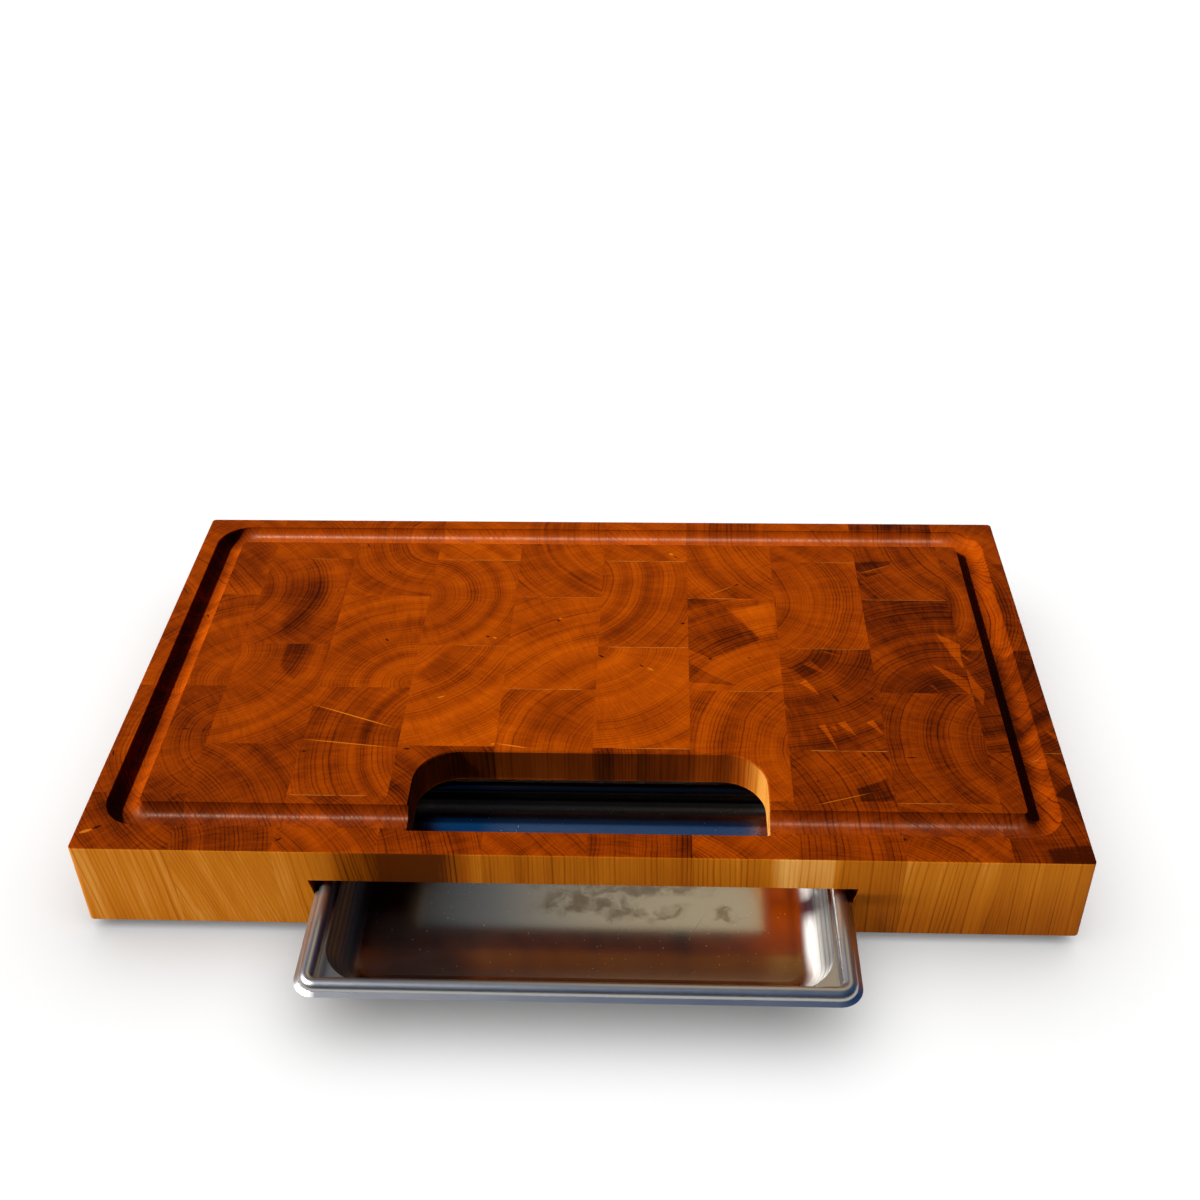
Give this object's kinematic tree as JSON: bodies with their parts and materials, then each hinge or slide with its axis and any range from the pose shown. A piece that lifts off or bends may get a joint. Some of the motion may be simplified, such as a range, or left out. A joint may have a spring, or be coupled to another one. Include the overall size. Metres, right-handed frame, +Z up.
{
  "type": "cutting board",
  "caption": "End-grain butcher block cutting board with a juice groove, a scrap chute through its top and a pressed steel tray that slides out below it.",
  "frame": {"origin": "on the table, under the middle of the box round the board and its drawn-out tray", "axes": "+X along the board to its right, +Y from its front face to its back, +Z up"},
  "size_m": [0.61, 0.434, 0.0715],
  "materials": {
    "cherry": "oiled",
    "cherry_dark": "oiled",
    "tray_steel": "satin",
    "foot_rubber": "matt",
    "fastener_steel": "plated"
  },
  "bodies": {
    "board": {"block_left1_1": "cherry", "block_left1_2": "cherry", "block_left1_3": "cherry", "block_left1_4": "cherry", "block_left2_1": "cherry", "block_left2_2": "cherry", "block_left2_3": "cherry", "block_left2_4": "cherry", "block_left3_1": "cherry", "block_left3_2": "cherry_dark", "block_left3_3": "cherry", "block_left3_4": "cherry", "block_left4_1": "cherry", "block_left4_2": "cherry", "block_left4_3": "cherry", "block_left4_4": "cherry", "block_left5_1": "cherry", "block_left5_2": "cherry", "block_left5_3": "cherry", "block_left5_4": "cherry", "block_right1_1": "cherry", "block_right1_1_back": "cherry", "block_right1_2": "cherry", "block_right1_3": "cherry", "block_right1_4": "cherry", "block_right2_1": "cherry", "block_right2_2": "cherry", "block_right2_3": "cherry_dark", "block_right2_4": "cherry", "block_right3_1": "cherry", "block_right3_2": "cherry_dark", "block_right3_3": "cherry", "block_right3_4": "cherry", "block_right4_1": "cherry", "block_right4_2": "cherry", "block_right4_3": "cherry_dark", "block_right4_4": "cherry", "block_right5_1": "cherry", "block_right5_2": "cherry_dark", "block_right5_3": "cherry", "block_right5_4": "cherry", "foot_back_left": "foot_rubber", "foot_back_right": "foot_rubber", "foot_front_left": "foot_rubber", "foot_front_right": "foot_rubber", "foot_screws": "fastener_steel", "foot_washers": "fastener_steel"},
    "tray": {"steel_tray": "tray_steel"}
  },
  "joints": [
    {"name": "tray_slide", "type": "slide", "parent": "board", "child": "tray", "axis": [0, -1, 0], "range_m": [-0.078, 0.1]}
  ]
}
